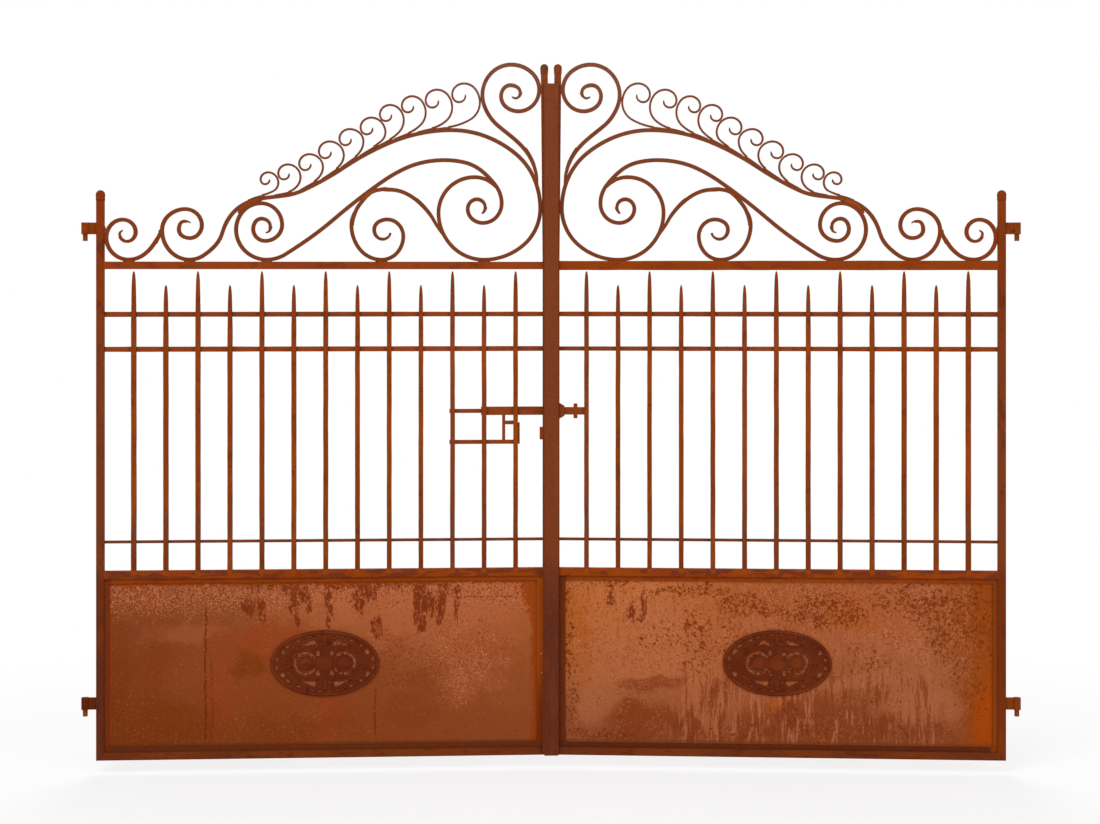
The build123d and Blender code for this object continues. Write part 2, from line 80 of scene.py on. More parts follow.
def leaf_frame(leaf, along=0, forward=0, height=0):
    """Matrix that puts a piece drawn towards -Y, with x along the leaf from its pins, in its place."""
    flip = Matrix.Scale(leaf_side[leaf], 4, Vector((1, 0, 0)))
    turn = Matrix.Rotation(leaf_turn[leaf], 4, "Z")
    return Matrix.Translation(on_leaf(leaf, along, forward, height)) @ turn @ flip


def along_of(leaf, x):
    """How far along the leaf, from its pins, the place with this x is."""
    return abs(x - leaf_pin[leaf].x) / cos(ajar)


def added(name, data):
    """A new object in the scene."""
    made = bpy.data.objects.new(name, data)
    bpy.context.scene.collection.objects.link(made)
    return made


# -------------------- painting


def linear(r, g, b):
    """Colour as it looks on a screen, 0 to 255, as the linear values that nodes take."""
    values = [max(0, min(255, c)) / 255 for c in (r, g, b)]
    return (*[v / 12.92 if v < 0.04045 else ((v + 0.055) / 1.055) ** 2.4 for v in values], 1)


def shade(colour, factor):
    """The same colour, lighter or darker."""
    return [c * factor for c in colour]


class Paint:
    """One node material, built up layer by layer in the object's own coordinates."""

    colour = None  # what is painted so far

    def __init__(self, name):
        self.material = bpy.data.materials.new(name)
        self.material.use_nodes = True
        self.tree = self.material.node_tree
        self.shader = self.tree.nodes["Principled BSDF"]
        coordinates = self.tree.nodes.new("ShaderNodeTexCoord")
        self.place = coordinates.outputs["Object"]
        self.x, self.y, self.z = self.split(self.place)
        self.facing = self.split(coordinates.outputs["Normal"])[1]  # below 0 on the front of the gate

    def node(self, kind, settings=None, **sockets):
        made = self.tree.nodes.new("ShaderNode" + kind)
        for key, value in (settings or {}).items():
            setattr(made, key, value)
        for key, value in sockets.items():
            self.feed(made.inputs[key], value)
        return made

    def feed(self, socket, value):
        if isinstance(value, bpy.types.NodeSocket):
            self.tree.links.new(value, socket)
        else:
            socket.default_value = value

    def math(self, operation, *values, kind="Math"):
        made = self.node(kind, {"operation": operation})
        for socket, value in zip(made.inputs, values):
            self.feed(socket, value)
        return made.outputs["Value" if operation == "LENGTH" else 0]

    def grown(self, value, factor, more):
        """value * factor + more"""
        return self.math("MULTIPLY_ADD", value, factor, more)

    def less(self, value, other):
        return self.math("SUBTRACT", value, other)

    def off(self, value, middle):
        """How far a value is from a middle one."""
        return self.math("ABSOLUTE", self.less(value, middle))

    def most(self, first, *others):
        for other in others:
            first = self.math("MAXIMUM", first, other)
        return first

    def vector(self, operation, *values):
        return self.math(operation, *values, kind="VectorMath")

    def split(self, vector):
        return self.node("SeparateXYZ", Vector=vector).outputs

    def run(self, *stretch):
        """Place that makes a pattern run on along the axes with the smaller factors."""
        return self.vector("MULTIPLY", self.place, stretch)

    def noise(self, scale, detail=3.0, rough=0.55, where=None, bend=0.0):
        sockets = {"Vector": where or self.place, "Scale": scale, "Detail": detail, "Roughness": rough}
        return self.node("TexNoise", Distortion=bend, **sockets).outputs["Fac"]

    def ramp(self, value, low, high, top=1.0):
        """0 below low, top above high, smooth between; low may be the larger."""
        return self.scaled(value, low, high, 0, top, "SMOOTHSTEP")

    def scaled(self, value, low, high, to_low, to_high, kind="LINEAR"):
        made = self.node("MapRange", {"interpolation_type": kind}, Value=value)
        for name, number in zip(("From Min", "From Max", "To Min", "To Max"), (low, high, to_low, to_high)):
            made.inputs[name].default_value = number
        return made.outputs["Result"]

    def times(self, first, *others):
        for other in others:
            first = self.math("MULTIPLY", first, other)
        return first

    def mix(self, share, below, above):
        made = self.node("Mix", {"data_type": "RGBA"})
        self.feed(made.inputs["Factor"], share)
        self.feed(made.inputs[6], below)
        self.feed(made.inputs[7], above)
        return made.outputs[2]

    def over(self, below, tone, mask, *shares):
        """A tone over another colour where the mask is, as densely as the shares say."""
        return self.mix(self.times(mask, *shares), below, linear(*tone))

    def coat(self, tone, mask, *shares):
        """Lays a tone over what is painted so far."""
        self.colour = self.over(self.colour, tone, mask, *shares)

    def stops(self, value, colours):
        """Colour that runs through a colour for each position."""
        made = self.node("ValToRGB", Fac=value)
        ramp = made.color_ramp
        while len(ramp.elements) < len(colours):
            ramp.elements.new(0.5)
        for element, (position, colour) in zip(ramp.elements, colours.items()):
            element.position = position
            element.color = linear(*colour)
        return made.outputs["Color"]

    def bump(self, height, strength, distance, under=None):
        made = self.node("Bump", Height=height, Strength=strength, Distance=distance)
        if under is not None:
            self.feed(made.inputs["Normal"], under)
        return made.outputs[0]

    def done(self, rough, normal):
        self.feed(self.shader.inputs["Base Color"], self.colour)
        self.feed(self.shader.inputs["Roughness"], rough)
        self.feed(self.shader.inputs["Normal"], normal)
        self.shader.inputs["Specular IOR Level"].default_value = 0.06
        return self.material


def scaly_normal(p, patch, fine, dust, depth=1.0):
    """Scale, pits and dust as relief."""
    normal = p.bump(patch, 0.35, 0.0016 * depth)
    normal = p.bump(fine, 0.45, 0.0007 * depth, normal)
    return p.bump(dust, 0.3, 0.0003 * depth, normal)


def rusty_bar(name, base, dark, bright, run=(1, 1, 1), grain=1.0, extra=None):
    """Rust on forged bar: blotches that run along it, orange bloom, fine scale and pits.

    base is one colour, or a colour for each of some heights in metres, with blends between.
    """
    p = Paint(name)
    along = p.run(*run)
    blotch = p.noise(7, 4, 0.6, where=along)
    patch = p.noise(34, 4, 0.6, where=along, bend=0.5)
    fine = p.noise(210 * grain, 3, 0.7)
    dust = p.noise(700 * grain, 2, 0.6)
    if isinstance(base, dict):
        low, high = min(base), max(base)
        wavering = p.grown(p.less(blotch, 0.5), 0.12, p.z)
        share = p.scaled(wavering, low, high, 0, 1)
        p.colour = p.stops(share, {(z - low) / (high - low): tone for z, tone in base.items()})
        p.coat(bright, p.ramp(blotch, 0.5, 0.62, 0.4))
        p.coat(dark, p.ramp(patch, 0.54, 0.68, 0.5))
    else:
        p.colour = linear(*base)
        p.coat(bright, p.ramp(blotch, 0.4, 0.6))
        p.coat(dark, p.ramp(patch, 0.52, 0.68, 0.8))
    if extra:
        extra(p)
    p.coat(shade(bright, 1.22), p.ramp(fine, 0.55, 0.7, 0.35))
    p.coat(shade(dark, 0.72), p.ramp(fine, 0.45, 0.3, 0.4))
    return p.done(p.scaled(dust, 0.3, 0.7, 0.8, 1.0), scaly_normal(p, patch, fine, dust))


panel_foot, panel_top = [corner.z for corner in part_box("left_sheet_panel")]
gate_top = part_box("left_meeting_stile")[1].z
picket_gaps = 12
picket_half = 0.007  # half the width of the source's pickets


def picket_row(leaf):
    """Middles of a leaf's first and last pickets, across."""
    low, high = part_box(f"{leaf}_pickets")
    return low.x + picket_half, high.x - picket_half


def rail_stains(leaf):
    """Purple-brown patches over the orange, and bright rust under each picket's foot."""

    def layer(p):
        purple = p.noise(10, 3, 0.5, where=p.run(1, 1, 4), bend=1.0)
        p.coat((104, 46, 26), p.ramp(purple, 0.5, 0.56, 0.85))
        first, last = picket_row(leaf)
        spacing = (last - first) / picket_gaps
        turns = p.math("DIVIDE", p.less(p.x, first - spacing / 2), spacing)
        beside = p.off(p.math("FRACT", turns), 0.5)
        near_top = p.ramp(p.z, panel_top + 0.002, panel_top + 0.02)
        p.coat((150, 66, 14), p.ramp(beside, 0.11, 0.05), near_top, 0.8)

    return layer


# Colours of the border's foot, darkened as painted shade and dirt in its recess, of its wet right side above and
# below, and of its left side, darkened as painted shade beside the stile.
border_tones_and_shade = {
    "left": ((97, 45, 20), (156, 70, 14), (112, 46, 16), (106, 44, 19)),
    "right": ((90, 39, 17), (128, 58, 15), (134, 62, 14), (92, 39, 19)),
}


def border_sides_and_shade(leaf):
    """The flat bar round the sheet has painted shade and dirt along its foot, painted shade along its left side,
    and orange where water ran.
    """

    def layer(p):
        foot, wet_above, wet_below, shaded_left = border_tones_and_shade[leaf]
        left, right = [corner.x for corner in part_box(f"{leaf}_sheet_panel")]
        # Painted shade and dirt along the border's recessed foot.
        p.coat(foot, p.ramp(p.z, panel_foot + 0.03, panel_foot + 0.015))
        wet = p.over(linear(*wet_above), wet_below, p.ramp(p.z, panel_foot + 0.32, panel_foot + 0.1))
        p.colour = p.mix(p.times(p.ramp(p.x, right - 0.03, right - 0.018), 0.85), p.colour, wet)
        # Painted shade along the border's left side, beside the stile.
        p.coat(shaded_left, p.ramp(p.x, left + 0.03, left + 0.018), 0.8)

    return layer


def outer_bloom(p):
    """The scrolls are more orange towards the hanging stiles."""
    left_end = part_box("left_hanging_stile")[1].x
    right_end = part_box("right_hanging_stile")[0].x
    left = p.ramp(p.x, left_end + 0.42, left_end + 0.16)
    right = p.ramp(p.x, right_end - 0.42, right_end - 0.16)
    p.coat((131, 56, 17), p.most(left, right), 0.75)


def dark_ball(p):
    """The left meeting stile's ball is darker grey-brown on the side of the gap."""
    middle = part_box("left_meeting_stile")[1].x - 0.017
    side = p.ramp(p.x, middle - 0.009, middle - 0.002)
    p.coat((92, 56, 36), p.ramp(p.z, gate_top - 0.03, gate_top - 0.022), side, 0.85)


thin_rust = rusty_bar("thin_rust", (113, 56, 32), (98, 46, 26), (124, 61, 32), run=(0.35, 1, 1))
right_top_rust = rusty_bar("right_top_rust", (134, 55, 14), (119, 47, 10), (143, 60, 14), run=(0.35, 1, 1))
forged = rusty_bar("forged_rust", (135, 60, 23), (119, 50, 18), (144, 64, 22), run=(0.35, 1, 1))
low_frame_rust = rusty_bar("low_frame_rust", (106, 48, 21), (90, 38, 16), (118, 54, 20), run=(0.4, 1, 1))
tones = {
    0.5: (122, 51, 10), 0.55: (119, 56, 22), 0.62: (117, 58, 27), 0.72: (129, 58, 18),
    1.09: (134, 59, 16), 1.25: (137, 60, 17), 1.36: (127, 56, 19),
}
picket_rust = rusty_bar("picket_rust", tones, (88, 40, 20), (158, 74, 20), run=(1, 1, 0.5))
tones = {
    1.5: (121, 58, 28), 1.66: (121, 59, 31), 1.84: (122, 62, 35), 1.98: (123, 63, 37),
    2.08: (127, 72, 50), gate_top: (128, 73, 52),
}
scroll_rust = rusty_bar("scroll_rust", tones, (102, 54, 32), (128, 66, 31), grain=1.2, extra=outer_bloom)
tones = {
    foot_z: (98, 45, 25), 0.3: (93, 42, 25), panel_top + 0.02: (108, 50, 26),
    panel_top + 0.08: (118, 57, 27), 1.6: (121, 59, 31), gate_top: (124, 62, 36),
}
strip_rust = rusty_bar("strip_rust", tones, (112, 52, 30), (130, 64, 32), run=(1, 1, 0.25))
left_hinge_rust = rusty_bar("left_hinge_rust", (133, 55, 10), (118, 46, 8), (144, 62, 14), grain=1.3)
low_left_hinge_rust = rusty_bar("low_left_hinge_rust", (94, 34, 11), (80, 30, 11), (106, 40, 14), grain=1.3)
right_hinge_rust = rusty_bar("right_hinge_rust", (127, 59, 17), (106, 45, 12), (139, 64, 20), grain=1.3)
bolt_rust = rusty_bar("bolt_rust", (130, 58, 21), (106, 44, 16), (140, 64, 22), grain=1.3, run=(0.4, 1, 1))
cast_rust = rusty_bar("cast_rust", (96, 37, 12), (84, 31, 11), (104, 42, 16), grain=1.2)
# Each stile's dark and bright colours, then those beside the panel, beside the pickets and above them.
stile_tones = {
    "left_hanging_stile": ((76, 33, 18), (146, 64, 16), (93, 41, 19), (115, 55, 26), (131, 53, 11)),
    "right_hanging_stile": ((76, 33, 16), (146, 65, 14), (112, 46, 14), (118, 57, 26), (123, 52, 16)),
    "left_meeting_stile": ((100, 46, 22), (150, 68, 20), (138, 61, 14), (124, 58, 25), (128, 62, 30)),
    "right_meeting_stile": ((84, 37, 20), (140, 64, 22), (96, 42, 21), (122, 58, 26), (124, 60, 30)),
}
stile_rust = {}
for stile, (dark, bright, low, middle, high) in stile_tones.items():
    tones = {foot_z: low, panel_top: low, panel_top + 0.06: middle, 1.2: middle, 1.42: high, 1.74: high}
    extra = dark_ball if stile == "left_meeting_stile" else None
    name = stile.replace("stile", "rust")
    stile_rust[stile] = rusty_bar(name, tones, dark, bright, run=(1, 1, 0.35), extra=extra)

border_lap = 0.016  # of the flat bar over the sheet's edges
meeting_lap = 0.020  # of the same beside the meeting stile


class Sheet(Paint):
    """Rusted sheet panel, painted in metres from its lower left corner as seen from the front."""

    def __init__(self, name, leaf):
        super().__init__(name)
        low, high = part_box(f"{leaf}_sheet_panel")
        self.width = high.x - low.x - border_lap - meeting_lap
        self.height = high.z - low.z - 2 * border_lap
        left = low.x + (border_lap if leaf == "left" else meeting_lap)
        self.across = self.less(self.x, left)
        self.up = self.less(self.z, low.z + border_lap)
        self.flat = self.node("CombineXYZ", X=self.across, Y=self.up, Z=0.0).outputs[0]
        tall = self.vector("MULTIPLY", self.flat, (1, 0.4, 0))
        self.ragged = self.shaken(tall, (0.06, 0.12, 0), Scale=60.0, Detail=4.0, Roughness=0.75)
        self.soft = self.shaken(self.flat, (0.12, 0.12, 0), Scale=9.0, Detail=2.0)

    def shaken(self, where, reach, **sockets):
        """The flat place, shifted by noise in two directions, up to half the reach each way."""
        noisy = self.node("TexNoise", {"noise_dimensions": "2D"}, Vector=where, **sockets)
        back = tuple(-length / 2 for length in reach)
        return self.vector("ADD", self.flat, self.vector("MULTIPLY_ADD", noisy.outputs["Color"], reach, back))

    def spots(self, places, rim=1.0, where=None):
        """1 inside any of these ovals; rim is the width of their soft edge, as a share of their size."""
        shapes = []
        for *sizes, strength in places:
            across, up, half_width, half_height = [size / 1000 for size in sizes]
            scale = (1 / half_width, 1 / half_height, 0)
            offset = (-across / half_width, -up / half_height, 0)
            distance = self.vector("LENGTH", self.vector("MULTIPLY_ADD", where or self.soft, scale, offset))
            shapes.append(self.ramp(distance, 1 + rim / 2, 1 - rim / 2, strength / 100))
        return self.most(*shapes)

    def line(self, across, top, width, waver):
        """Upright crease line from the sheet's foot to a height."""
        sway = self.noise(14, 4, 0.7, where=self.run(0.1, 0.1, 1))
        shifted = self.grown(sway, waver * 4, self.across)
        distance = self.off(shifted, across + waver * 2)
        edge = self.ramp(distance, width, width * 0.3)
        ends = self.times(self.ramp(self.up, 0.0, 0.03), self.ramp(self.up, top, top - 0.03))
        return self.times(edge, ends)


def sheet_colour_rows(p, rows):
    """Colour field of the sheet: for each of some heights, a colour for each share of the width."""
    across, height = p.split(p.soft)[:2]
    share = p.math("DIVIDE", across, p.width)
    under = None
    for level, colours in rows.items():
        row = p.stops(share, colours)
        p.colour = p.mix(p.ramp(height, under, level), p.colour, row) if p.colour else row
        under = level


def sheet_grain(p, light, dark, amount, dark_amount):
    """Crisp flakes of light scale and dark pits, as dense as the two amounts say."""
    flat = p.run(1, 1, 1.35)
    flakes = p.noise(120, 2, 0.6, where=flat, bend=0.7)
    crumbs = p.noise(235, 2, 0.6)
    pits = p.noise(135, 2, 0.65, bend=0.5)
    clear = p.scaled(amount, 0.05, 0.6, 0.22, 0.85)
    denser = p.grown(amount, 0.17, flakes)
    p.coat(light, p.ramp(denser, 0.63, 0.675), clear)
    denser = p.grown(amount, 0.13, crumbs)
    p.coat(shade(light, 1.1), p.ramp(denser, 0.63, 0.69), clear)
    clear = p.scaled(dark_amount, 0.05, 0.7, 0.25, 0.8)
    denser = p.grown(dark_amount, 0.15, pits)
    p.coat(dark, p.ramp(denser, 0.63, 0.68), clear)
    return flakes, crumbs


def worm_lines(p, scale, width):
    """Thin winding lines, as the edges of loose scale make."""
    level = p.noise(scale, 3, 0.7, bend=0.6)
    return p.ramp(p.off(level, 0.5), width, width * 0.4)


def torn(p, shape, reach=0.5):
    """A stain's edge broken up into flakes that hang downwards."""
    tatter = p.noise(85, 3, 0.7, where=p.run(1, 1, 0.4), bend=0.8)
    return p.ramp(p.grown(p.less(tatter, 0.5), reach * 5, shape), 0.38, 0.5)


def edge_of(p, distance, reach, wave):
    """1 within reach of an edge, with a wavering, flaky boundary."""
    return p.ramp(p.math("ADD", distance, wave), reach * 1.15, reach * 0.85)


def painted_light_behind_medallion(p, leaf):
    """Paler rust painted on the sheet's front as painted light, so that the medallion's shaded openings look lit,
    with flakes of orange in it.
    """
    low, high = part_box(f"{leaf}_medallion")
    middle = (low + high) / 2
    offset = p.vector("SUBTRACT", p.place, (middle.x, 0, middle.z))
    oval = p.vector("LENGTH", p.vector("MULTIPLY", offset, (2 / (high.x - low.x), 0, 2 / (high.z - low.z))))
    inside = p.times(p.ramp(oval, 0.97, 0.93), p.ramp(p.facing, 0.0, -0.5))
    patch = p.noise(45, 2, 0.6, bend=0.8)
    pale = p.over(linear(164, 98, 64), (166, 80, 28), p.ramp(patch, 0.54, 0.6))
    pale = p.over(pale, (128, 58, 30), p.ramp(patch, 0.47, 0.42))
    # Painted light: the paler colour on the front of the sheet, inside the medallion's oval.
    p.colour = p.mix(inside, p.colour, pale)


# Colours of each sheet: for some heights, the colour at some shares of its width.
left_rows = {
    0.05: {0: (117, 52, 14), 0.12: (122, 55, 15), 0.3: (128, 60, 23), 0.6: (133, 63, 27), 1: (138, 68, 32)},
    0.24: {0: (123, 55, 19), 0.2: (134, 65, 30), 0.35: (138, 64, 25), 0.7: (138, 68, 32), 1: (146, 75, 36)},
    0.44: {0: (126, 60, 28), 0.3: (136, 70, 35), 0.45: (159, 86, 46), 0.8: (167, 90, 50), 1: (163, 87, 43)},
}
right_rows = {
    0.04: {
        0: (141, 74, 43), 0.15: (134, 67, 32), 0.35: (134, 66, 32), 0.5: (128, 62, 30),
        0.7: (126, 61, 30), 0.88: (138, 72, 38), 0.95: (140, 64, 20), 1: (150, 66, 14),
    },
    0.26: {
        0: (170, 97, 56), 0.25: (173, 98, 58), 0.5: (160, 86, 48), 0.7: (152, 83, 48),
        0.85: (158, 90, 56), 0.93: (146, 74, 32), 1: (142, 66, 16),
    },
    0.45: {
        0: (180, 98, 44), 0.2: (186, 105, 56), 0.35: (172, 91, 43), 0.5: (160, 82, 40),
        0.7: (164, 87, 46), 0.86: (160, 86, 46), 0.93: (148, 72, 24), 1: (144, 66, 16),
    },
}
# Ovals of each stain: across, up, half width and half height in millimetres, and strength in per cent.
left_dusty = [
    (250, 370, 140, 30, 60), (80, 470, 90, 50, 15), (770, 430, 60, 70, 100), (950, 440, 60, 80, 100),
    (1220, 460, 120, 60, 100), (1270, 350, 80, 50, 60), (1140, 300, 200, 50, 35), (1200, 210, 100, 50, 40),
]
left_red = [
    (520, 350, 120, 70, 100), (360, 200, 45, 170, 70), (720, 70, 40, 90, 80), (1240, 330, 90, 50, 60),
]
left_ochre = [
    (470, 265, 70, 35, 100), (160, 50, 200, 70, 60), (20, 250, 20, 300, 40), (550, 50, 300, 50, 40),
]
left_brown = [(155, 220, 35, 200, 80), (980, 110, 90, 50, 70), (1050, 200, 60, 40, 60)]
left_mottled = [(1160, 330, 170, 100, 100), (1170, 200, 120, 70, 90), (920, 350, 60, 50, 70)]
left_pitted = [(550, 40, 100, 50, 80), (980, 270, 200, 90, 60), (100, 40, 100, 30, 40)]
left_drips = [
    (455, 460, 22, 30, 80), (497, 445, 10, 40, 90), (605, 490, 13, 40, 100), (635, 497, 12, 35, 90),
    (616, 425, 8, 30, 100), (655, 470, 6, 55, 100), (720, 470, 12, 60, 100), (722, 400, 6, 30, 90),
    (825, 485, 26, 40, 100), (860, 500, 20, 25, 90), (880, 390, 20, 35, 90), (1015, 450, 14, 80, 100),
    (1045, 470, 30, 40, 90), (1090, 460, 14, 65, 100), (1030, 400, 18, 25, 90), (1144, 460, 7, 70, 100),
]
right_dusty = [
    (100, 130, 80, 60, 90), (950, 220, 200, 30, 100), (1160, 140, 130, 60, 100), (460, 120, 35, 90, 90),
    (560, 120, 25, 80, 80), (300, 430, 100, 50, 60), (620, 390, 80, 25, 80), (1000, 330, 150, 50, 50),
]
right_brown = [
    (300, 200, 100, 35, 100), (220, 80, 70, 55, 100), (310, 60, 70, 40, 80), (420, 60, 15, 70, 100),
    (510, 130, 20, 80, 90), (720, 70, 110, 60, 90), (840, 120, 70, 50, 60), (1050, 70, 30, 50, 100),
    (930, 60, 50, 50, 60), (1200, 35, 80, 30, 70),
]
right_ochre = [
    (20, 360, 50, 140, 90), (720, 140, 40, 25, 100), (950, 430, 70, 50, 70), (860, 30, 25, 20, 80),
]
right_peppered = [
    (870, 440, 120, 60, 100), (760, 420, 60, 40, 100), (620, 460, 130, 35, 100), (420, 510, 130, 22, 100),
    (430, 400, 50, 60, 90), (1120, 470, 100, 60, 90), (1240, 440, 90, 90, 100), (1240, 340, 70, 50, 100),
    (1280, 270, 50, 60, 70), (160, 525, 80, 13, 100), (1360, 420, 60, 120, 85), (1360, 200, 60, 100, 60),
    (120, 25, 160, 20, 100), (450, 300, 90, 60, 70), (530, 360, 70, 50, 60), (800, 60, 120, 40, 70),
    (600, 40, 150, 30, 60), (950, 280, 150, 50, 50), (320, 340, 60, 40, 60), (5, 270, 14, 270, 90),
]
right_drips = [
    (261, 465, 6, 55, 100), (250, 415, 14, 10, 100), (150, 485, 12, 18, 100), (215, 430, 14, 25, 90),
]


def left_scale(p):
    """Loose scale towards the left sheet's top and right, with winding lines in it."""
    patchy = p.ramp(p.noise(11, 3, 0.6), 0.4, 0.62)
    mottled = p.spots(left_mottled)
    strength = p.grown(patchy, 0.1, p.grown(p.ramp(p.up, 0.37, 0.52), 0.72, 0.02))
    strength = p.most(strength, p.times(mottled, p.grown(patchy, 0.35, 0.4)))
    dark = p.most(p.grown(strength, 0.7, 0.06), p.spots(left_pitted))
    flakes, crumbs = sheet_grain(p, (178, 102, 66), (120, 52, 19), strength, dark)
    wormy = p.times(mottled, p.ramp(p.noise(16, 3, 0.6), 0.42, 0.55))
    p.coat((180, 105, 64), wormy, worm_lines(p, 55, 0.022), 0.75)
    p.coat((116, 48, 14), wormy, worm_lines(p, 70, 0.014), 0.6)
    return flakes, crumbs


def left_hanging(p, flakes):
    """Drips and a fringe that hang from the left sheet's top edge."""
    inner = p.ramp(p.noise(62, 3, 0.75, where=p.run(1, 1, 0.7), bend=1.2), 0.42, 0.47)
    drips = p.times(torn(p, p.spots(left_drips, 0.9, p.ragged)), p.grown(inner, 0.75, 0.25))
    hang = p.noise(30, 4, 0.8, where=p.run(1, 1, 0.15))
    fringe = p.ramp(p.grown(hang, 0.2, p.up), p.height + 0.078, p.height + 0.086)
    fringe = p.times(fringe, p.ramp(p.across, 0.35, 0.5), p.ramp(p.across, 1.15, 1.1))
    return p.most(drips, p.times(fringe, p.ramp(flakes, 0.44, 0.48)))


def left_creases(p):
    """Rusted creases up the left sheet, and a scratch along its top."""
    dashes = p.ramp(p.noise(90, 2, 0.8), 0.42, 0.47)
    faint = p.times(p.line(0.337, 0.3, 0.004, 0.01), 0.6)
    short = p.times(p.line(0.874, 0.2, 0.004, 0.005), 0.8)
    p.coat((100, 32, 10), p.most(p.line(0.315, 0.47, 0.0045, 0.006), faint, short), dashes, 0.85)
    scratch = p.ramp(p.off(p.up, 0.487), 0.0025, 0.001)
    scratch = p.times(scratch, p.ramp(p.across, 1.12, 1.16), p.ramp(p.across, 1.36, 1.32))
    p.coat((120, 50, 20), scratch, dashes, 0.8)


def left_edges(p):
    """Orange along the left sheet's top and right, and browner rust along its foot."""
    wave = p.times(p.less(p.noise(45, 4, 0.75, bend=1.0), 0.5), 0.045)
    to_top, to_right = p.less(p.height, p.up), p.less(p.width, p.across)
    top, right = edge_of(p, to_top, 0.009, wave), edge_of(p, to_right, 0.017, p.times(wave, 1.4))
    corner = torn(p, p.spots([(1410, 530, 45, 110, 100)], 0.8, p.ragged))
    p.coat((147, 62, 8), p.most(top, right, corner), 0.9)
    p.coat((152, 60, 22), edge_of(p, p.across, 0.005, p.times(wave, 0.3)), 0.8)
    p.coat((108, 50, 16), edge_of(p, p.up, 0.009, p.times(wave, 0.4)), 0.6)


def left_sheet():
    p = Sheet("left_sheet_rust", "left")
    sheet_colour_rows(p, left_rows)
    p.coat((170, 93, 56), p.spots(left_dusty), 0.6)
    p.coat((145, 60, 22), p.spots(left_red), 0.6)
    p.coat((120, 53, 8), p.spots(left_ochre, 0.9), 0.75)
    p.coat((122, 52, 18), p.spots(left_brown), 0.5)
    flakes, crumbs = left_scale(p)
    drips = left_hanging(p, flakes)
    p.coat((116, 45, 12), drips, 0.95)
    left_creases(p)
    left_edges(p)
    painted_light_behind_medallion(p, "left")
    return p.done(p.scaled(crumbs, 0.3, 0.7, 0.85, 1.0), scaly_normal(p, flakes, crumbs, drips, 0.7))


def right_streaks(p):
    """Water's streaks on the right sheet's lower half, and combed rust above them."""
    streak = p.noise(40, 3, 0.7, where=p.run(2.0, 2.0, 0.22), bend=0.5)
    below = p.times(p.ramp(p.up, 0.28, 0.2), p.ramp(p.across, 0.3, 0.38), p.ramp(p.across, 1.28, 1.2))
    patches = p.ramp(p.noise(8, 3, 0.6), 0.4, 0.5)
    p.coat((172, 100, 68), below, patches, p.ramp(streak, 0.54, 0.59), 0.75)
    p.coat((122, 52, 20), below, p.ramp(streak, 0.46, 0.41), 0.7)
    combed = p.noise(60, 3, 0.6, where=p.run(1.6, 1.6, 0.3))
    above = p.ramp(p.up, 0.2, 0.3)
    p.coat((182, 106, 66), above, p.ramp(combed, 0.55, 0.64), 0.35)
    p.coat((142, 68, 30), above, p.ramp(combed, 0.46, 0.38), 0.35)


def right_scratch(p):
    """Short slanting scratch low on the right sheet."""
    x, y = p.split(p.vector("MULTIPLY_ADD", p.flat, (1.0, 1.0, 0), (-1.12, -0.05, 0)))[:2]
    off_line = p.math("ABSOLUTE", p.grown(x, 1.1, y))
    return p.times(p.ramp(off_line, 0.005, 0.002), p.ramp(p.math("ABSOLUTE", x), 0.022, 0.016))


def right_sheet():
    p = Sheet("right_sheet_rust", "right")
    sheet_colour_rows(p, right_rows)
    p.coat((170, 98, 64), p.spots(right_dusty), 0.6)
    p.coat((126, 54, 22), p.spots(right_brown, 0.7), 0.7)
    p.coat((166, 82, 20), p.spots(right_ochre, 0.9), 0.7)
    right_streaks(p)

    wave = p.times(p.less(p.noise(22, 4, 0.75, bend=1.0), 0.5), 0.16)
    to_right = p.less(p.width, p.across)
    uneven = p.grown(p.ramp(p.noise(14, 3, 0.7), 0.4, 0.6), 0.35, 0.5)
    p.coat((146, 66, 10), edge_of(p, to_right, 0.072, wave), uneven)
    p.coat((162, 66, 4), p.spots([(1400, 100, 50, 120, 100)], 0.9, p.ragged), 0.8)

    patchy = p.ramp(p.noise(10, 3, 0.6), 0.38, 0.62)
    strength = p.grown(patchy, 0.2, p.grown(p.ramp(p.up, 0.1, 0.4), 0.22, 0.05))
    strength = p.times(strength, p.ramp(to_right, 0.0, 0.1))
    flakes, crumbs = sheet_grain(p, (184, 110, 72), (120, 54, 22), strength, p.times(strength, 1.1))
    dots = p.noise(88, 2, 0.75, bend=0.8)
    denser = p.grown(p.spots(right_peppered, 0.9), 0.16, dots)
    p.coat((118, 50, 14), p.ramp(denser, 0.65, 0.69), 0.92)
    p.coat((118, 48, 14), torn(p, p.spots(right_drips, 0.6, p.ragged), 0.3), 0.9)
    p.coat((104, 46, 12), right_scratch(p), 0.85)
    p.coat((122, 60, 26), edge_of(p, p.up, 0.01, p.times(wave, 0.1)), 0.6)
    painted_light_behind_medallion(p, "right")
    return p.done(p.scaled(crumbs, 0.3, 0.7, 0.85, 1.0), scaly_normal(p, flakes, crumbs, dots, 0.7))


def leaf_rust(name, leaf, extra):
    """Orange rust of the bars round a leaf's panel, with stains of its own."""
    tones = (137, 56, 10), (118, 48, 14), (145, 62, 10)
    return rusty_bar(f"{leaf}_{name}", *tones, run=(0.4, 1, 1), extra=extra(leaf))


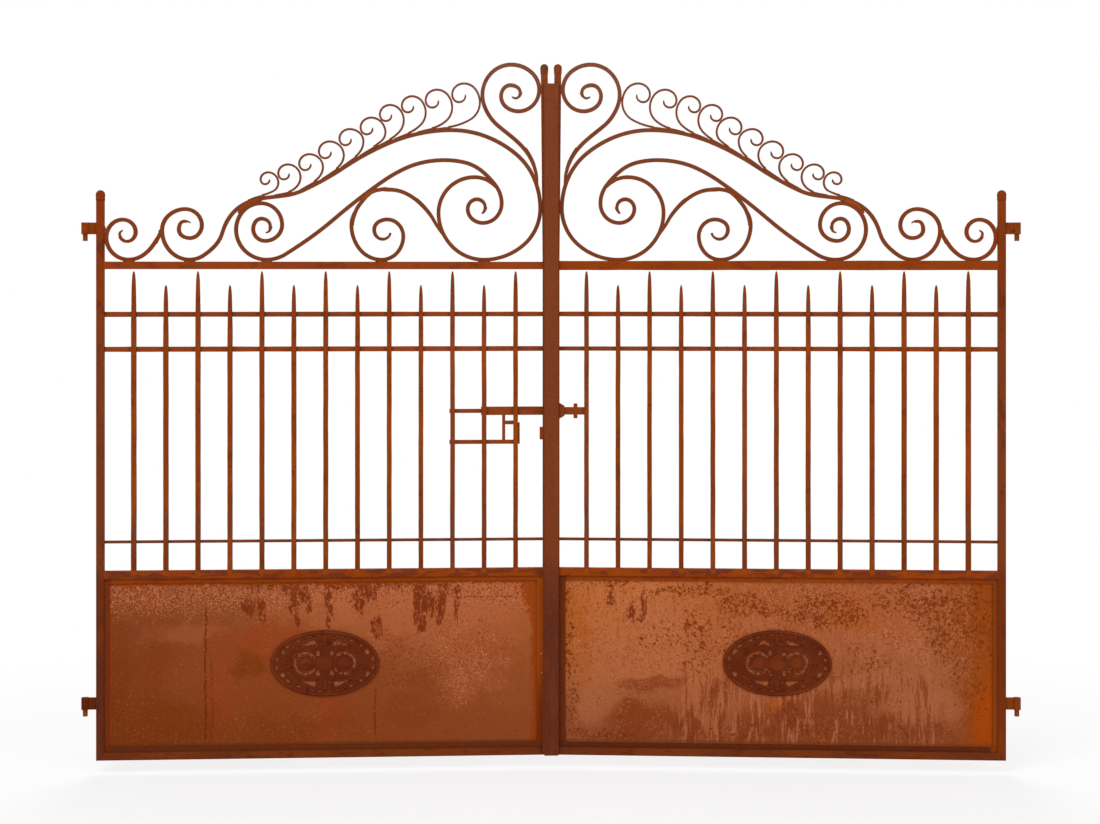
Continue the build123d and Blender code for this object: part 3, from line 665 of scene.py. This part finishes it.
finish_of = {
    "forged_frame": forged,
    "pickets": picket_rust,
    "medallion": cast_rust,
    "scrollwork": scroll_rust,
    "cover_strip": strip_rust,
    "hinge": right_hinge_rust,
}
special = {
    "left_sheet_panel": left_sheet(),
    "right_sheet_panel": right_sheet(),
    "bolt": bolt_rust,
    "bolt_collar": bolt_rust,
    "left_upper_hinge_eye": left_hinge_rust,
    "left_lower_hinge_eye": low_left_hinge_rust,
    "left_bottom_rail": low_frame_rust,
    "right_bottom_rail": low_frame_rust,
}
for leaf in leaf_side:
    special[f"{leaf}_panel_rail"] = leaf_rust("rail_rust", leaf, rail_stains)
    special[f"{leaf}_thin_rail"] = thin_rust
    special[f"{leaf}_panel_border"] = leaf_rust("border_rust", leaf, border_sides_and_shade)
special.update(stile_rust)
slot_of = {part["node"]: part["material_slot"] for part in record["subparts"]}
for name, node in nodes.items():
    finish = special.get(name) or finish_of[slot_of[name]]
    node.data.materials.clear()
    node.data.materials.append(finish)

# -------------------- forged bars, welds, rivets and relief


def finished(name, shape, body, finish, smooth=True):
    """Makes an object of a bmesh and hands it to the body that it moves with."""
    bmesh.ops.recalc_face_normals(shape, faces=shape.faces)
    mesh = bpy.data.meshes.new(name)
    shape.to_mesh(mesh)
    shape.free()
    mesh.materials.append(finish)
    mesh.polygons.foreach_set("use_smooth", [smooth] * len(mesh.polygons))
    piece = added(name, mesh)
    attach(piece, body)
    return piece


def add_weld(shape, middle, radius, stretch=(1, 1, 1), rough=0.25):
    """Lumpy bead of weld metal."""
    made = bmesh.ops.create_icosphere(shape, subdivisions=3, radius=radius)
    for vert in made["verts"]:
        lump = 1 + rough * noise.noise(vert.co * 260 + middle * 31)
        vert.co = Vector([lump * a * b for a, b in zip(vert.co, stretch)]) + middle


def surface_points(mesh, spacing):
    """Points along the edges of a mesh."""
    places = [vert.co for vert in mesh.vertices]
    for edge in mesh.edges:
        start, end = places[edge.vertices[0]], places[edge.vertices[1]]
        steps = int((end - start).length / spacing)
        for i in range(steps + 1):
            yield start.lerp(end, i / max(steps, 1))


def faces_of(node):
    """A CAD node's faces, to look for the nearest one or the one that a ray hits."""
    return BVHTree.FromObject(nodes[node], bpy.context.evaluated_depsgraph_get())


def contacts(first, second, near=0.0012, apart=0.03):
    """Middles of the places where one CAD node touches another."""
    faces = faces_of(second)
    found = []
    for point in surface_points(nodes[first].data, 0.004):
        hit, _, _, distance = faces.find_nearest(point, near)
        if hit is not None:
            found.append((distance, (point + hit) / 2))
    spots = []
    for distance, point in sorted(found, key=lambda item: item[0]):
        group = next((spot for spot in spots if (spot[0] - point).length < apart), None)
        if group:
            group.append(point)
        else:
            spots.append([point])
    return [sum(spot, Vector()) / len(spot) for spot in spots]


def section(width, depth, bevel):
    """Corners of a bar's section with its edges broken."""
    across, back = width / 2, depth / 2
    corners = []
    for side, face in ((1, -1), (1, 1), (-1, 1), (-1, -1)):
        ends = [(side * across, face * (back - bevel)), (side * (across - bevel), face * back)]
        corners += ends if side == face else ends[::-1]
    return corners


def skin(shape, rings, closed=False):
    """Faces from each ring of corners to the next, and over the first and last unless closed."""
    count = len(rings[0])
    for one, other in zip(rings, rings[1:] + (rings[:1] if closed else [])):
        for k in range(count):
            after = (k + 1) % count
            shape.faces.new((one[k], one[after], other[after], other[k]))
    if not closed:
        shape.faces.new(rings[0])
        shape.faces.new(rings[-1])


def add_bar(shape, line, y=0.0, bevel=0.001):
    """Forged bar through (along, height, width, depth) points, in a leaf's own upright plane."""
    rings = []
    for i, (x, z, width, depth) in enumerate(line):
        before, after = line[max(i - 1, 0)], line[min(i + 1, len(line) - 1)]
        run = Vector((after[0] - before[0], 0, after[1] - before[1])).normalized()
        side = Vector((run.z, 0, -run.x))
        corners = section(width, depth, min(bevel, width / 4))
        rings.append([shape.verts.new(Vector((x, y + back, z)) + side * out) for out, back in corners])
    skin(shape, rings)


def bent(stations, depth, steps=8):
    """Points of a bar bent through (along, height, heading in degrees, width) stations."""
    line = []
    for first, last in zip(stations, stations[1:]):
        start, end = Vector((*first[:2], 0)), Vector((*last[:2], 0))
        reach = (end - start).length / 3
        turns = [radians(station[2]) for station in (first, last)]
        leaving, arriving = [Vector((cos(turn), sin(turn), 0)) * reach for turn in turns]
        for i, point in enumerate(interpolate_bezier(start, start + leaving, end - arriving, end, steps)):
            width = first[3] + (last[3] - first[3]) * i / (steps - 1)
            if i or not line:
                line.append((point.x, point.y, width, depth))
    return line


def picket_places(leaf):
    """Distance of each picket from the pins, with the height of its tip."""
    first, last = picket_row(leaf)
    places = [vert.co for vert in nodes[f"{leaf}_pickets"].data.vertices]
    for i in range(picket_gaps + 1):
        x = first + (last - first) * i / picket_gaps
        tip = max(place.z for place in places if abs(place.x - x) < 0.02)
        yield along_of(leaf, x), tip


def forged_rail(leaf, rail, thicker, more):
    """Rail swollen by rust scale, more so towards the hanging stile; widths in millimetres."""
    node = f"{leaf}_{rail}"
    back_to_leaf = leaf_frame(leaf).inverted()
    spans = zip(*[back_to_leaf @ vert.co for vert in nodes[node].data.vertices])
    (near, far), (front, back), (low, high) = [(min(span), max(span)) for span in spans]
    line, steps = [], 96
    for i in range(steps + 1):
        along = near + (far - near) * i / steps
        scale = thicker + more * (1 - i / steps) + 1.1 * noise.noise((along * 11, high * 7, 2))
        scale += 0.5 * noise.noise((along * 60, high * 9, 5))
        line.append((along, (low + high) / 2, high - low + scale / 1000, back - front))
    shape = bmesh.new()
    add_bar(shape, line, y=(front + back) / 2)
    shape.transform(leaf_frame(leaf))
    rust = right_top_rust if rail == "top_rail" else forged
    piece = finished(f"{leaf}_forged_{rail}", shape, f"{leaf}_leaf", rust, smooth=False)
    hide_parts(node)


def swollen_bars(node, across, up):
    """The left leaf's node with rust scale on its bars: metres more on each side, across and up."""
    shape = bmesh.new()
    shape.from_mesh(nodes[node].data)
    bmesh.ops.remove_doubles(shape, verts=shape.verts, dist=0.00001)
    shape.normal_update()
    for vert in shape.verts:
        out = vert.normal.copy()
        vert.co.x += across * ((out.x > 0.3) - (out.x < -0.3))
        vert.co.z += up * ((out.z > 0.3) - (out.z < -0.3))
    piece = finished(f"left_forged_{node}", shape, "left_leaf", forged, smooth=False)
    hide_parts(node)


picket_middle = -0.004  # y in the leaf's frame, so 4 mm in front of the leaf's middle
spike_drop = 0.1  # from a picket's tip to the top of its shaft
# Width left at each distance below a picket's tip.
spike = [(0.0, 0.0034), (0.005, 0.0066), (0.014, 0.0092), (0.032, 0.0118), (0.062, 0.0135), (0.09, 0.0143)]


def forged_pickets(leaf):
    """Square bars drawn out to plain spikes, no two quite alike."""
    rail_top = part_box(f"{leaf}_panel_rail")[1].z
    shape = bmesh.new()
    for along, tip in picket_places(leaf):
        shaft_top = tip - spike_drop
        shaft = [rail_top + (shaft_top - rail_top) * i / 24 for i in range(25)]
        stout = 0.0172 - 0.0013 * along
        line = []
        for height in shaft:
            waver = noise.noise((along * 40, height * 9, 3))
            rough = 1 + 0.05 * noise.noise((along * 30, height * 26, 9))
            thick = rough * min(stout, 0.0144 + (shaft_top - height) * 0.05)
            line.append((along + 0.0007 * waver * min(1, (height - rail_top) * 8), height, thick, 0.014))
        line += [(along, tip - drop, width, width) for drop, width in reversed(spike)]
        add_bar(shape, line, y=picket_middle)
    shape.transform(leaf_frame(leaf))
    piece = finished(f"{leaf}_forged_pickets", shape, f"{leaf}_leaf", picket_rust, smooth=False)
    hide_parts(f"{leaf}_pickets")


for leaf in leaf_side:
    forged_pickets(leaf)

# Forge-welded scarfs where one scroll runs on along another: (across from the hanging stile, up from
# the top rail, heading, width), in millimetres and degrees.
scarfs = [
    [(163, 61, 58, 13), (180, 94, 66, 12), (187, 116, 80, 8), (190, 138, 88, 4)],
    [(1222, 282, 0, 13), (1253, 276, -20, 12.5), (1274, 263, -36, 10), (1289, 248, -48, 6)],
    [(812, 120, 90, 13), (822, 163, 70, 13), (844, 199, 50, 13), (868, 224, 38, 11), (890, 242, 37, 6)],
    [(862, 222, 37, 7), (884, 234, 30, 12), (912, 241, 12, 13), (941, 240, 0, 13)],
    [(1024, 208, -38, 13), (1068, 162, -52, 12.5), (1093, 121, -58, 11), (1116, 85, -56, 6)],
    [(1386, 379, -49, 12.8), (1411, 338, -63, 12.8), (1423.5, 300, -73, 11), (1431, 247, -81, 4)],
]
# Blunt eyes of the scrolls in the same way, but in millimetres of the drawing, which `drawn` stretches.
eyes = [
    [(57, 102, 212, 4), (47, 92, 262, 7.5), (50, 80, 295, 8.5), (74, 66, 0, 8.6)],
    [(524, 95, 12, 4.5), (537, 102, 60, 8), (542, 116, 90, 8.6)],
    [(1252, 180, 270, 8.6), (1240, 159, 225, 6.4)],
    [(935, 95, 270, 6.4), (912, 74, 180, 8.6)],
    [(1341, 545, -28, 4), (1353, 540, 0, 7.5), (1372, 559, 90, 8.6)],
]
# Runs of weld metal where scrolls lie side by side, drawn like the eyes.
weld_runs = [
    [(433, 159, 52, 4), (455, 182, 43, 16), (485, 199, 24, 18), (513, 204, 8, 8)],
    [(843, 202, 44, 6), (863, 221, 40, 14), (887, 237, 34, 7)],
]
# The ridge curls' right sides, tops and widths, in millimetres of the drawing.
ridge_curls = [
    (569, 293, 58), (642, 319, 73), (716, 353, 78), (785, 395, 82), (850, 436, 79),
    (923, 474, 82), (984, 516, 79), (1057, 545, 79), (1145, 567, 88), (1237, 588, 92),
]
field_left = along_of("left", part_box("left_hanging_stile")[1].x)
field_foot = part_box("left_top_rail")[1].z
scroll_depth = 0.0124  # a little more than the bars that a scarf lies over
curl_depth = 0.0084
weld_depth = 0.0134


def placed(across, up, turn, width):
    """Station of the scrollwork in metres, along from the leaf's pins."""
    return field_left + across / 1000, field_foot + up / 1000, turn, width / 1000


def drawn(across, up, turn, width):
    """The same, stretched from the drawing to the field between the stiles."""
    return placed(across * (1.0055 - 0.0042 * up / 629), up * 1.0111, turn, width)


def forge_welds(leaf):
    """Scarfs of a leaf, and the toes on which the ridge curls stand."""
    shape = bmesh.new()
    for scarf in scarfs:
        add_bar(shape, bent([placed(*station) for station in scarf], scroll_depth))
    for eye in eyes:
        add_bar(shape, bent([drawn(*station) for station in eye], scroll_depth))
    for right, top, width in ridge_curls:
        hook = [
            drawn(right - 0.76 * width, top - 0.67 * width, 0, 6.4),
            drawn(right - 0.55 * width, top - 0.47 * width, 90, 5.4),
            drawn(right - 0.56 * width, top - 0.4 * width, 102, 3.6),
        ]
        add_bar(shape, bent(hook, curl_depth))
    arch = faces_of(f"{leaf}_arch_scroll")
    for foot in contacts(f"{leaf}_ridge_curls", f"{leaf}_arch_scroll"):
        toe = []
        for i in range(9):
            along = along_of(leaf, foot.x) + 0.006 - 0.007 * i
            hit = arch.ray_cast(on_leaf(leaf, along, 0, foot.z + 0.02), Vector((0, 0, -1)))[0]
            width = 0.0067 - 0.0006 * i
            toe.append((along, hit.z + width * 0.3, width, curl_depth))
        add_bar(shape, toe)
    shape.transform(leaf_frame(leaf))
    finished(f"{leaf}_forge_welds", shape, f"{leaf}_leaf", scroll_rust, smooth=False)


for leaf in leaf_side:
    forge_welds(leaf)


# Rings of the shoulder under a ball: drop below its top, share of its half width, and roundness.
shoulder = [(0.034, 0.93, 0.1), (0.027, 0.95, 0.4), (0.02, 0.99, 0.8), (0.0125, 0.985, 1)]


def add_shoulder(shape, leaf, stile):
    """Shoulder that runs from a square stile up into the ball on its top."""
    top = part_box(stile)[1].z
    ball = [vert.co.x for vert in nodes[stile].data.vertices if vert.co.z > top - 0.026]
    along = along_of(leaf, (min(ball) + max(ball)) / 2)
    half = (max(ball) - min(ball)) / 2 / cos(ajar)
    rings, corners = [], 24
    for drop, share, roundness in shoulder:
        ring = []
        for k in range(corners):
            turn = 2 * pi * k / corners
            square = 1 / max(abs(cos(turn)), abs(sin(turn)))
            reach = half * share * (roundness + (1 - roundness) * min(square, 1.25))
            ring.append(shape.verts.new((along + reach * cos(turn), reach * sin(turn), top - drop)))
        rings.append(ring)
    skin(shape, rings)


for leaf in leaf_side:
    for stile in ("hanging_stile", "meeting_stile"):
        shape = bmesh.new()
        add_shoulder(shape, leaf, f"{leaf}_{stile}")
        shape.transform(leaf_frame(leaf))
        rust = stile_rust[f"{leaf}_{stile}"]
        finished(f"{leaf}_{stile}_shoulder", shape, f"{leaf}_leaf", rust)

weld_rust = rusty_bar("weld_rust", (134, 62, 22), (108, 48, 18), (148, 72, 26), grain=1.4)
scroll_names = [f"{name}_scroll" for name in ("outer", "arch", "long", "middle", "link", "crest")]
scroll_names.append("ridge_curls")
for leaf in leaf_side:
    shape = bmesh.new()
    for i, first in enumerate(scroll_names):
        for second in [*scroll_names[i + 1 :], "top_rail", "hanging_stile", "meeting_stile"]:
            for spot in contacts(f"{leaf}_{first}", f"{leaf}_{second}"):
                spread = (3.4, 1.3, 0.8) if second == "top_rail" else (1, 1.3, 1)
                add_weld(shape, spot, 0.0056, spread)
    for along, _ in picket_places(leaf):
        foot = on_leaf(leaf, along, -picket_middle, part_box(f"{leaf}_panel_rail")[1].z)
        add_weld(shape, foot, 0.0062, (1.75, 1.5, 0.6))
    finished(f"{leaf}_welds", shape, f"{leaf}_leaf", weld_rust)
    shape = bmesh.new()
    for run in weld_runs:
        add_bar(shape, bent([drawn(*station) for station in run], weld_depth), bevel=0.003)
    shape.transform(leaf_frame(leaf))
    finished(f"{leaf}_weld_runs", shape, f"{leaf}_leaf", weld_rust, smooth=False)


def add_half_round(shape, path, width, height, closed=False):
    """Half-round ridge on the face y = 0, along (x, z, share) points; share thins it."""
    sides = 6
    rings = []
    for i, (x, z, share) in enumerate(path):
        before = path[i - 1] if closed or i else path[i]
        after = path[(i + 1) % len(path)] if closed or i < len(path) - 1 else path[i]
        run = Vector((after[0] - before[0], 0, after[1] - before[1])).normalized()
        side = Vector((run.z, 0, -run.x))
        ring = []
        for k in range(sides + 1):
            turn = pi * k / sides
            out = side * (cos(turn) * width * share / 2) - Vector((0, sin(turn) * height * share, 0))
            ring.append(shape.verts.new(Vector((x, 0.0004, z)) + out))
        rings.append(ring)
    skin(shape, rings, closed)


def add_dome(shape, x, z, radius, height):
    """Low dome on the face y = 0."""
    made = bmesh.ops.create_icosphere(shape, subdivisions=3, radius=1)
    for vert in made["verts"]:
        vert.co = Vector((x + vert.co.x * radius, vert.co.y * height, z + vert.co.z * radius))


def oval(half_width, half_height, share=1.0, count=96):
    """Points of a ridge that runs round an oval."""
    turns = [2 * pi * i / count for i in range(count)]
    return [(half_width * cos(t), half_height * sin(t), share) for t in turns]


# Small ridges in a quarter of a medallion: width, height, and (x, z, share) points.
vine = [(0.034, 0.083, 0.5), (0.06, 0.0745, 1), (0.085, 0.0655, 1), (0.102, 0.053, 0.9), (0.108, 0.036, 0.5)]
small_ridges = [
    (0.007, 0.0028, [(0.109, 0.006, 0.8), (0.121, 0.011, 1), (0.130, 0.018, 0.4)]),
    (0.008, 0.003, [(0.010, 0.073, 1), (0.019, 0.082, 1), (0.028, 0.0875, 0.4)]),
    (0.0055, 0.0024, vine),
]


def add_boss(shape, side):
    """Scalloped crescent of one half of a medallion, with a dome and a row of beads in it."""
    middle, crescent, beads = side * 0.064, 0.0445, 0.0275  # where it is, and two radii
    turns = [radians(55 + 250 * i / 40) for i in range(41)]
    ends = [min(1, 0.4 + i / 6, 0.4 + (40 - i) / 6) for i in range(41)]
    ring = [(middle - side * crescent * cos(t), crescent * sin(t), share) for t, share in zip(turns, ends)]
    add_half_round(shape, ring, 0.0075, 0.0032)
    add_dome(shape, middle, 0, 0.020, 0.0032)
    for i in range(9):
        turn = radians(25 + 310 * (i + 0.5) / 9)
        add_dome(shape, middle - side * beads * cos(turn), beads * sin(turn), 0.0056, 0.0022)


def medallion_relief(leaf):
    """Cast ridges and bosses on the face of a medallion."""
    low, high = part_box(f"{leaf}_medallion")
    middle = (low + high) / 2
    half_width = (high.x - low.x) / 2 / cos(ajar)
    half_height = (high.z - low.z) / 2
    along = along_of(leaf, middle.x)
    front = ((along - half_width) * sin(ajar) - low.y) / cos(ajar)
    shape = bmesh.new()
    add_half_round(shape, oval(half_width - 0.0055, half_height - 0.0055), 0.010, 0.0035, True)
    add_half_round(shape, oval(half_width * 0.772, half_height * 0.772), 0.0045, 0.0022, True)
    for side in (-1, 1):
        add_boss(shape, side)
        stem = [(side * 0.108, 0, 1), (side * 0.122, 0, 1), (side * 0.136, 0, 0.4)]
        add_half_round(shape, stem, 0.008, 0.003)
        for up in (-1, 1):
            for width, height, path in small_ridges:
                add_half_round(shape, [(side * x, up * z, share) for x, z, share in path], width, height)
    for up in (-1, 1):
        bud = [(0, 0.058 * up, 0.4), (0, 0.068 * up, 0.9), (0, 0.080 * up, 1), (0, 0.094 * up, 0.4)]
        add_half_round(shape, bud, 0.014, 0.002)
    add_dome(shape, 0, 0, 0.026, 0.0016)
    shape.transform(leaf_frame(leaf, along, front, middle.z))
    finished(f"{leaf}_medallion_relief", shape, f"{leaf}_leaf", ridge_rust)


forged_rail("left", "upper_light_rail", thicker=1.6, more=1.6)
forged_rail("right", "upper_light_rail", thicker=2.0, more=0.4)
forged_rail("left", "lower_light_rail", thicker=2.4, more=0.6)
forged_rail("right", "lower_light_rail", thicker=0.2, more=1.6)
forged_rail("right", "top_rail", thicker=5.6, more=0.8)
swollen_bars("keeper_bar", across=0.0, up=0.0015)
swollen_bars("lock_bars", across=0.0016, up=0.0012)

ridge_rust = rusty_bar("cast_ridge_rust", (102, 40, 17), (88, 33, 13), (114, 49, 20), grain=1.2)
for leaf in leaf_side:
    medallion_relief(leaf)


# Pale rivet colour: worn metal, painted paler as a painted highlight.
worn_metal_and_highlight = rusty_bar("worn_metal_and_highlight", (176, 126, 92), (140, 88, 54), (190, 150, 120), grain=1.5)
rivet_along = along_of("left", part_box("left_meeting_stile")[0].x) + 0.004
stile_face = 0.0125  # of the left meeting stile in front of its leaf's middle


def rivet(name, above_foot):
    """Small round head on the left meeting stile, of worn metal painted pale as a painted highlight."""
    shape = bmesh.new()
    add_dome(shape, 0, 0, 0.0028, 0.0022)
    shape.transform(leaf_frame("left", rivet_along, stile_face, panel_foot + above_foot))
    finished(name, shape, "left_leaf", worn_metal_and_highlight)


rivet("upper_stile_rivet", 0.313)
rivet("lower_stile_rivet", 0.248)

# -------------------- floor, light and camera


def seen_directly(tree):
    """1 for rays from the camera, or seen in gloss or glass, else 0."""
    path = tree.nodes.new("ShaderNodeLightPath")
    total = path.outputs["Is Camera Ray"]
    for ray in ("Is Glossy Ray", "Is Transmission Ray"):
        step = tree.nodes.new("ShaderNodeMath")
        step.operation = "MAXIMUM"
        tree.links.new(total, step.inputs[0])
        tree.links.new(path.outputs[ray], step.inputs[1])
        total = step.outputs[0]
    return total


floor_z = foot_z - 0.045
floor_reach = 3.2
floor_sides = 48
turns = [2 * pi * i / floor_sides for i in range(floor_sides)]
rim = [(middle_x + floor_reach * cos(turn), floor_reach * sin(turn), floor_z) for turn in turns]
floor_mesh = bpy.data.meshes.new("floor")
floor_mesh.from_pydata(rim, [], [tuple(range(floor_sides))])
floor = added("floor", floor_mesh)
p = Paint("pale_floor")
p.shader.inputs["Base Color"].default_value = (0.93, 0.93, 0.93, 1)
p.shader.inputs["Roughness"].default_value = 0.9
p.shader.inputs["Specular IOR Level"].default_value = 0.0
glow = p.node("Emission", Strength=1.0)
from_middle = p.vector("LENGTH", p.vector("SUBTRACT", p.place, (middle_x, 0, floor_z)))
outwards = p.ramp(from_middle, 1.9, floor_reach - 0.1)
share = p.times(seen_directly(p.tree), p.grown(outwards, 0.28, 0.72))
lit = p.node("MixShader", Fac=share)
p.feed(lit.inputs[1], p.shader.outputs[0])
p.feed(lit.inputs[2], glow.outputs[0])
p.feed(p.tree.nodes["Material Output"].inputs["Surface"], lit.outputs[0])
floor_mesh.materials.append(p.material)

world = bpy.data.worlds.new("studio")
bpy.context.scene.world = world
world.use_nodes = True
background = world.node_tree.nodes["Background"]
background.inputs["Color"].default_value = (1, 1, 1, 1)
strength = world.node_tree.nodes.new("ShaderNodeMapRange")
strength.inputs["To Min"].default_value = 0.47
strength.inputs["To Max"].default_value = 1.0
world.node_tree.links.new(seen_directly(world.node_tree), strength.inputs["Value"])
world.node_tree.links.new(strength.outputs["Result"], background.inputs["Strength"])

aim = Vector((middle_x, 0, foot_z + 1.0))


def soft_lamp(name, at, watts):
    """Large square area lamp that shines at the gate's middle."""
    light = bpy.data.lights.new(name, "AREA")
    light.size = 4.0
    light.energy = watts
    lamp = added(name, light)
    lamp.location = at
    lamp.rotation_euler = (aim - Vector(at)).to_track_quat("-Z", "Y").to_euler()


soft_lamp("key", (middle_x - 2.5, -5.5, foot_z + 6.5), 290)
soft_lamp("fill", (middle_x + 4.5, -5.0, foot_z + 3.0), 120)
soft_lamp("back", (middle_x, 5.5, foot_z + 5.0), 220)

camera_distance = 6.9  # from the lens to the pins
metres_seen = 3.63  # across the picture, at the pins
camera_data = bpy.data.cameras.new("camera")
camera_data.sensor_width = 36
camera_data.lens = camera_data.sensor_width * camera_distance / metres_seen
camera_data.shift_y = -0.1227  # the photo's horizon lies above its middle
camera = added("camera", camera_data)
camera.location = (middle_x - 0.0035, -camera_distance, eye_z)
camera.rotation_euler = (pi / 2, 0, 0)
bpy.context.scene.camera = camera
bpy.context.scene.view_settings.view_transform = "Standard"
